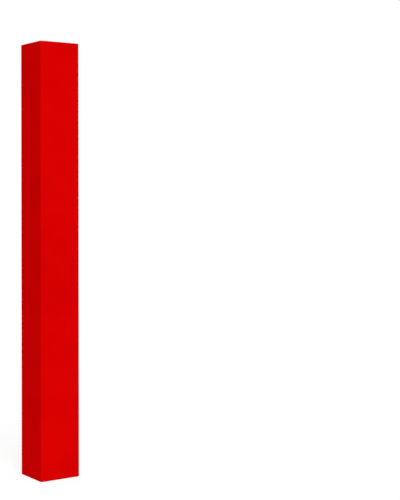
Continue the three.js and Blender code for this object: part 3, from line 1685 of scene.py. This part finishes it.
@dataclass(frozen=True)
class ClosureMaker(Maker):
    """Makes the closure: the flap, its hook tape, and the loop tape that they press on.

    Attributes:
        cover: the maker of the cover, of which the flap is the end.
        thread: the sewing thread.
        seam_setback: from the flap's hinge line back to where its cloth starts.
        root_stitch: from where its cloth starts back to the stitches at its root.
        bend_start: from the hinge line back to where the cloth starts to bend.
        bend_end: from the hinge line on to where it has bent.
        hem: how far the flap's edge is turned under.
        hem_radius: outer radius of that turn.
        hem_stitch: from the turned-under edge to the stitches that hold it.
        tape_base: thickness of a tape's woven base.
        tape_step: about how far the points of the hook tape's base are apart.
        stitch_margin: from a tape's edge to its stitches.
        hook_pitch: between hooks, across the tape and along it.
        hook_wire: thickness of a hook.
        hook_stem: height at which a hook starts to curl.
        hook_curl: radius of its curl.
        hook_turn: how far it curls, in radians.
        hook_facets: how many faces a hook has round it, and how many times along its curl.
        pile_pitch: between the points that shape the loop tape's pile.
        pile: height of the pile.
        pile_shares: how high the lowest and the highest of its points are, in shares of that height.
    """

    cover: CoverMaker
    thread: Thread
    seam_setback: float = 4.0 * MILLIMETRE
    root_stitch: float = 1.5 * MILLIMETRE
    bend_start: float = 1.0 * MILLIMETRE
    bend_end: float = 5.0 * MILLIMETRE
    hem: float = 2.8 * MILLIMETRE
    hem_radius: float = 0.95 * MILLIMETRE
    hem_stitch: float = 0.5 * MILLIMETRE
    tape_base: float = 0.45 * MILLIMETRE
    tape_step: float = 8.0 * MILLIMETRE
    stitch_margin: float = 1.7 * MILLIMETRE
    hook_pitch: tuple[float, float] = (2.6 * MILLIMETRE, 4.5 * MILLIMETRE)
    hook_wire: float = 0.3 * MILLIMETRE
    hook_stem: float = 0.3 * MILLIMETRE
    hook_curl: float = 0.28 * MILLIMETRE
    hook_turn: float = math.radians(150)
    hook_facets: tuple[int, int] = (3, 3)
    pile_pitch: float = 1.9 * MILLIMETRE
    pile: float = 0.6 * MILLIMETRE
    pile_shares: tuple[float, float] = (0.45, 1.0)

    @property
    def seam(self) -> float:
        """From the middle of the bore to where the flap's cloth takes over from the back cover."""
        return self.sizes.flap_hinge - self.seam_setback

    @property
    def root_seam(self) -> float:
        """From the middle of the bore to the stitches at the flap's root."""
        return self.seam + self.root_stitch

    def flap(self) -> bpy.types.Object:
        """Makes the flap's cloth, with its free edge turned under.

        Returns:
            The piece.
        """
        sizes = self.sizes
        under = 2 * self.hem_radius
        turn = sizes.outer - self.hem_radius
        bend = (self.bend_start - sizes.flap_hinge, -sizes.flap_hinge - self.bend_end)
        cloth = Cloth(sizes, self.hem - sizes.outer, under)
        cloth.run(-turn, under, cloth.bent_step)
        cloth.bend(-turn, self.hem_radius, 2 * QUARTER_TURN)
        cloth.run(bend[1], 0)
        cloth.run(bend[0], 0, cloth.bent_step / 2)
        cloth.run(-self.seam, 0)
        piece = self.cover.finish(cloth, Side.BACK, "flap_cloth", -OUTWARD)
        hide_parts("closure_flap")
        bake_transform(piece)
        return piece

    def flap_stitching(self) -> bpy.types.Object:
        """Sews the flap's hem and the hook tape's edges.

        Returns:
            The stitches.
        """
        sizes = self.sizes
        near, far = sizes.tape_edges
        hem = sizes.outer - self.hem + self.hem_stitch
        heights = (self.cover.stitch_inset, sizes.height - self.cover.stitch_inset)
        sewn = Stitching("flap_stitching", Side.BACK, self.thread, self.palette.thread)
        for place in (near + self.stitch_margin, far - self.stitch_margin, hem):
            start, end = (Vector((-place, -sizes.outer, height)) for height in heights)
            sewn.sew(start, end, OUTWARD, partial(self.cover.stands_out, Side.BACK))
        return sewn.piece("closure_flap")

    def tape_grid(self, spacing: float) -> bmesh.types.BMesh:
        """Makes a flat tape from a grid, its width along X and its length along Z, facing -Y.

        Args:
            spacing: about how far its points are apart.

        Returns:
            The tape's mesh, round the middle of its width and height.
        """
        width, length = self.sizes.tape
        mesh = bmesh.new()
        bmesh.ops.create_grid(
            mesh, x_segments=round(width / spacing), y_segments=round(length / spacing), size=0.5
        )
        bmesh.ops.scale(mesh, verts=mesh.verts, vec=(width, length, 1))
        bmesh.ops.rotate(mesh, verts=mesh.verts, matrix=Matrix.Rotation(QUARTER_TURN, 3, "X"))
        bmesh.ops.translate(mesh, verts=mesh.verts, vec=UPRIGHT * self.sizes.height / 2)
        return mesh

    def tape_piece(
        self, name: str, mesh: bmesh.types.BMesh, side: Side, dress: bpy.types.Material, backing: str
    ) -> bpy.types.Object:
        """Makes a piece of a tape.

        Args:
            name: the tape's name, which its node has too.
            mesh: the tape's mesh.
            side: that it is drawn for.
            dress: its finish.
            backing: the piece that it is sewn to; not used.

        Returns:
            The piece.
        """
        piece = finished(f"{name}_strip", mesh, side, dress, -self.sizes.outer)
        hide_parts(name)
        return piece

    def hook(self) -> bpy.types.Mesh:
        """Makes one hook, which stands on its base along +Y and curls towards +Z.

        Returns:
            The hook's mesh.
        """
        facets_round, facets_along = self.hook_facets
        mesh = bmesh.new()
        bmesh.ops.create_circle(mesh, segments=facets_round, radius=self.hook_wire / 2, cap_ends=True)
        bmesh.ops.rotate(mesh, verts=mesh.verts, matrix=Matrix.Rotation(-QUARTER_TURN, 3, "X"))
        grown = bmesh.ops.extrude_face_region(mesh, geom=mesh.faces[:])["geom"]
        raised = of_kind(grown, bmesh.types.BMVert)
        bmesh.ops.translate(mesh, verts=raised, vec=(0, self.hook_stem, 0))
        tip = of_kind(grown, bmesh.types.BMFace)
        bmesh.ops.spin(
            mesh,
            geom=tip,
            cent=(0, self.hook_stem, self.hook_curl),
            axis=ACROSS,
            angle=self.hook_turn,
            steps=facets_along,
        )
        bmesh.ops.delete(mesh, geom=tip, context="FACES_ONLY")
        bmesh.ops.recalc_face_normals(mesh, faces=mesh.faces)
        return kept("hook", mesh)

    def hook_tape(self) -> bpy.types.Object:
        """Makes the hook tape, sewn to the inner side of the flap.

        Returns:
            The piece.
        """
        sizes = self.sizes
        width, length = sizes.tape
        mesh = self.tape_grid(self.tape_step)
        bmesh.ops.solidify(mesh, geom=mesh.faces[:], thickness=self.tape_base)
        bmesh.ops.translate(mesh, verts=mesh.verts, vec=(-sizes.tape_middle, -sizes.hook_seat, 0))
        hook = self.hook()
        across, along = self.hook_pitch
        columns = int((width - 2 * self.stitch_margin) / across)
        lines = int(length / along) - 1
        for column, line in itertools.product(range(columns), range(lines)):
            stagger = (column % 2 - 0.5) / 2
            x = across * (column - (columns - 1) / 2) - sizes.tape_middle
            z = along * (line - (lines - 1) / 2 + stagger) + sizes.height / 2
            stamp(mesh, hook, Matrix.Translation((x, self.tape_base - sizes.hook_seat, z)))
        bpy.data.meshes.remove(hook)
        piece = self.tape_piece("hook_tape", mesh, Side.BACK, self.palette.hooks, "flap_cloth")
        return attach(piece, "closure_flap")

    def loop_tape(self) -> bpy.types.Object:
        """Makes the loop tape, sewn to the right panel's free end.

        Returns:
            The piece.
        """
        sizes = self.sizes
        end = sizes.taped
        mesh = self.tape_grid(self.pile_pitch)
        chance = random.Random("loop pile")
        edge = sizes.tape[0] / 2 - self.stitch_margin
        for point in mesh.verts:
            body = 1 - max(abs(point.co.x) - edge, 0) / self.stitch_margin
            point.co.y -= self.pile * body * chance.uniform(*self.pile_shares)
        bmesh.ops.solidify(mesh, geom=mesh.faces[:], thickness=self.tape_base)
        turn = Matrix.Rotation(QUARTER_TURN + math.atan(end.lean), 4, "Z")
        depth = sizes.outer - sizes.tape_middle
        seat = end.at(depth) + sizes.layer_gap / 2 + self.tape_base
        place = Matrix.Translation((seat, depth - sizes.outer, 0)) @ turn
        bmesh.ops.transform(mesh, matrix=place, verts=mesh.verts)
        piece = self.tape_piece("loop_tape", mesh, Side.RIGHT, self.palette.loops, "right_lining")
        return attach(piece, "right_panel")


@dataclass(frozen=True)
class Studio:
    """A plain pale floor, soft light, and the camera at the photograph's viewing angle.

    Attributes:
        picture: the photograph's width and height, in pixels.
        focal_pixels: the lens's focal length, in pixels of the photograph.
        horizon_row: row of the photograph that is level with the camera.
        standpoint: where the camera stands.
        heading: the way that it looks, anticlockwise from +X, in degrees.
        tilt: how far its picture is turned, in degrees.
        sun_share: light on a face square to +X, +Y and +Z, as shares of a white face's full light.
        sun_size: the sun's width as seen from the pad, in degrees.
        sky: brightness of the surroundings.
        floor_reach: from the origin to the floor's edge, in metres.
        floor_colour: of the floor as it lights the pad.
        floor_glow: what is added to the floor as it is seen, to make it white.
        floor_shade_share: share of the floor's own light that is seen.
    """

    picture: tuple[int, int] = (400, 500)
    focal_pixels: float = 1161.7
    horizon_row: float = 199.3
    standpoint: tuple[float, float, float] = (-2.549, -4.805, 1.280)
    heading: float = 54.69
    tilt: float = 0.083
    sun_share: tuple[float, float, float] = (-0.098, -0.365, 0.350)
    sun_size: float = 25.0
    sky: float = 0.55
    floor_reach: float = 40.0
    floor_colour: float = 0.80
    floor_glow: float = 0.78
    floor_shade_share: float = 0.35

    def camera(self) -> None:
        """Creates the camera and makes it the scene's."""
        lens = bpy.data.cameras.new("camera")
        longest = max(self.picture)
        lens.lens = lens.sensor_width * self.focal_pixels / longest
        lens.shift_y = (self.horizon_row - self.picture[1] / 2) / longest
        camera = bpy.data.objects.new("camera", lens)
        look = Matrix.Rotation(math.radians(self.heading) - QUARTER_TURN, 4, "Z")
        level = Matrix.Rotation(QUARTER_TURN, 4, "X")
        tilted = Matrix.Rotation(math.radians(-self.tilt), 4, "Z")
        camera.matrix_world = Matrix.Translation(self.standpoint) @ look @ level @ tilted
        bpy.context.scene.collection.objects.link(camera)
        bpy.context.scene.camera = camera

    def sun(self) -> None:
        """Creates the sun."""
        share = Vector(self.sun_share)
        light = bpy.data.lights.new("sun", "SUN")
        light.energy = share.length * math.pi
        light.angle = math.radians(self.sun_size)
        lamp = bpy.data.objects.new("sun", light)
        lamp.rotation_mode = "QUATERNION"
        lamp.rotation_quaternion = share.to_track_quat("Z", "Y")
        bpy.context.scene.collection.objects.link(lamp)

    def surroundings(self) -> None:
        """Creates the surroundings, which are seen as white and light the pad more softly."""
        world = bpy.data.worlds.new("surroundings")
        recipe = Recipe(world)
        feeds = {"Color": (1, 1, 1, 1), "Strength": recipe.shown().between(self.sky, 1.0)}
        sky = recipe.wire("ShaderNodeBackground", feeds=feeds)
        recipe.node("ShaderNodeOutputWorld", feeds={"Surface": sky})
        bpy.context.scene.world = world

    def floor(self) -> None:
        """Creates the floor, which is seen as white with a faint shadow."""
        recipe = Recipe.of("floor")
        shown = recipe.shown()
        seen = self.floor_colour * self.floor_shade_share
        dress = recipe.surface(
            Base_Color=recipe.tint(shown, grey(self.floor_colour), grey(seen)),
            Roughness=1.0,
            Specular_IOR_Level=0.0,
            Emission_Color=recipe.tint(shown, grey(0.0), grey(self.floor_glow)),
            Emission_Strength=1.0,
        )
        mesh = bmesh.new()
        bmesh.ops.create_grid(mesh, x_segments=1, y_segments=1, size=self.floor_reach)
        data = kept("floor", mesh)
        data.materials.append(dress)
        floor = bpy.data.objects.new("floor", data)
        bpy.context.scene.collection.objects.link(floor)


def main() -> None:
    """Builds the studio and the pad, piece by piece."""
    bpy.context.scene.view_settings.view_transform = "Standard"
    studio = Studio()
    studio.camera()
    studio.sun()
    studio.surroundings()
    studio.floor()
    sizes = PadSizes.from_frame()
    palette = Palette.mixed(sizes)
    thread = Thread()
    cover = CoverMaker(sizes, palette)
    caps = CapMaker(sizes, palette)
    boards = BoardMaker(sizes, palette, caps)
    linings = LiningMaker(sizes, palette, cover)
    sewing = PanelSewing(sizes, palette, cover, caps, thread)
    closure = ClosureMaker(sizes, palette, cover, thread)
    for side in Side:
        boards.board(side)
        linings.lining(side)
        caps.cap(side, Level.BOTTOM)
        caps.cap(side, Level.TOP)
        sewing.panel(side, closure.root_seam)
    cover.front_and_left()
    cover.right()
    cover.back(closure.seam)
    closure.flap()
    closure.hook_tape()
    closure.loop_tape()
    closure.flap_stitching()


if __name__ == "__main__":
    logging.basicConfig(level=logging.INFO)
    main()
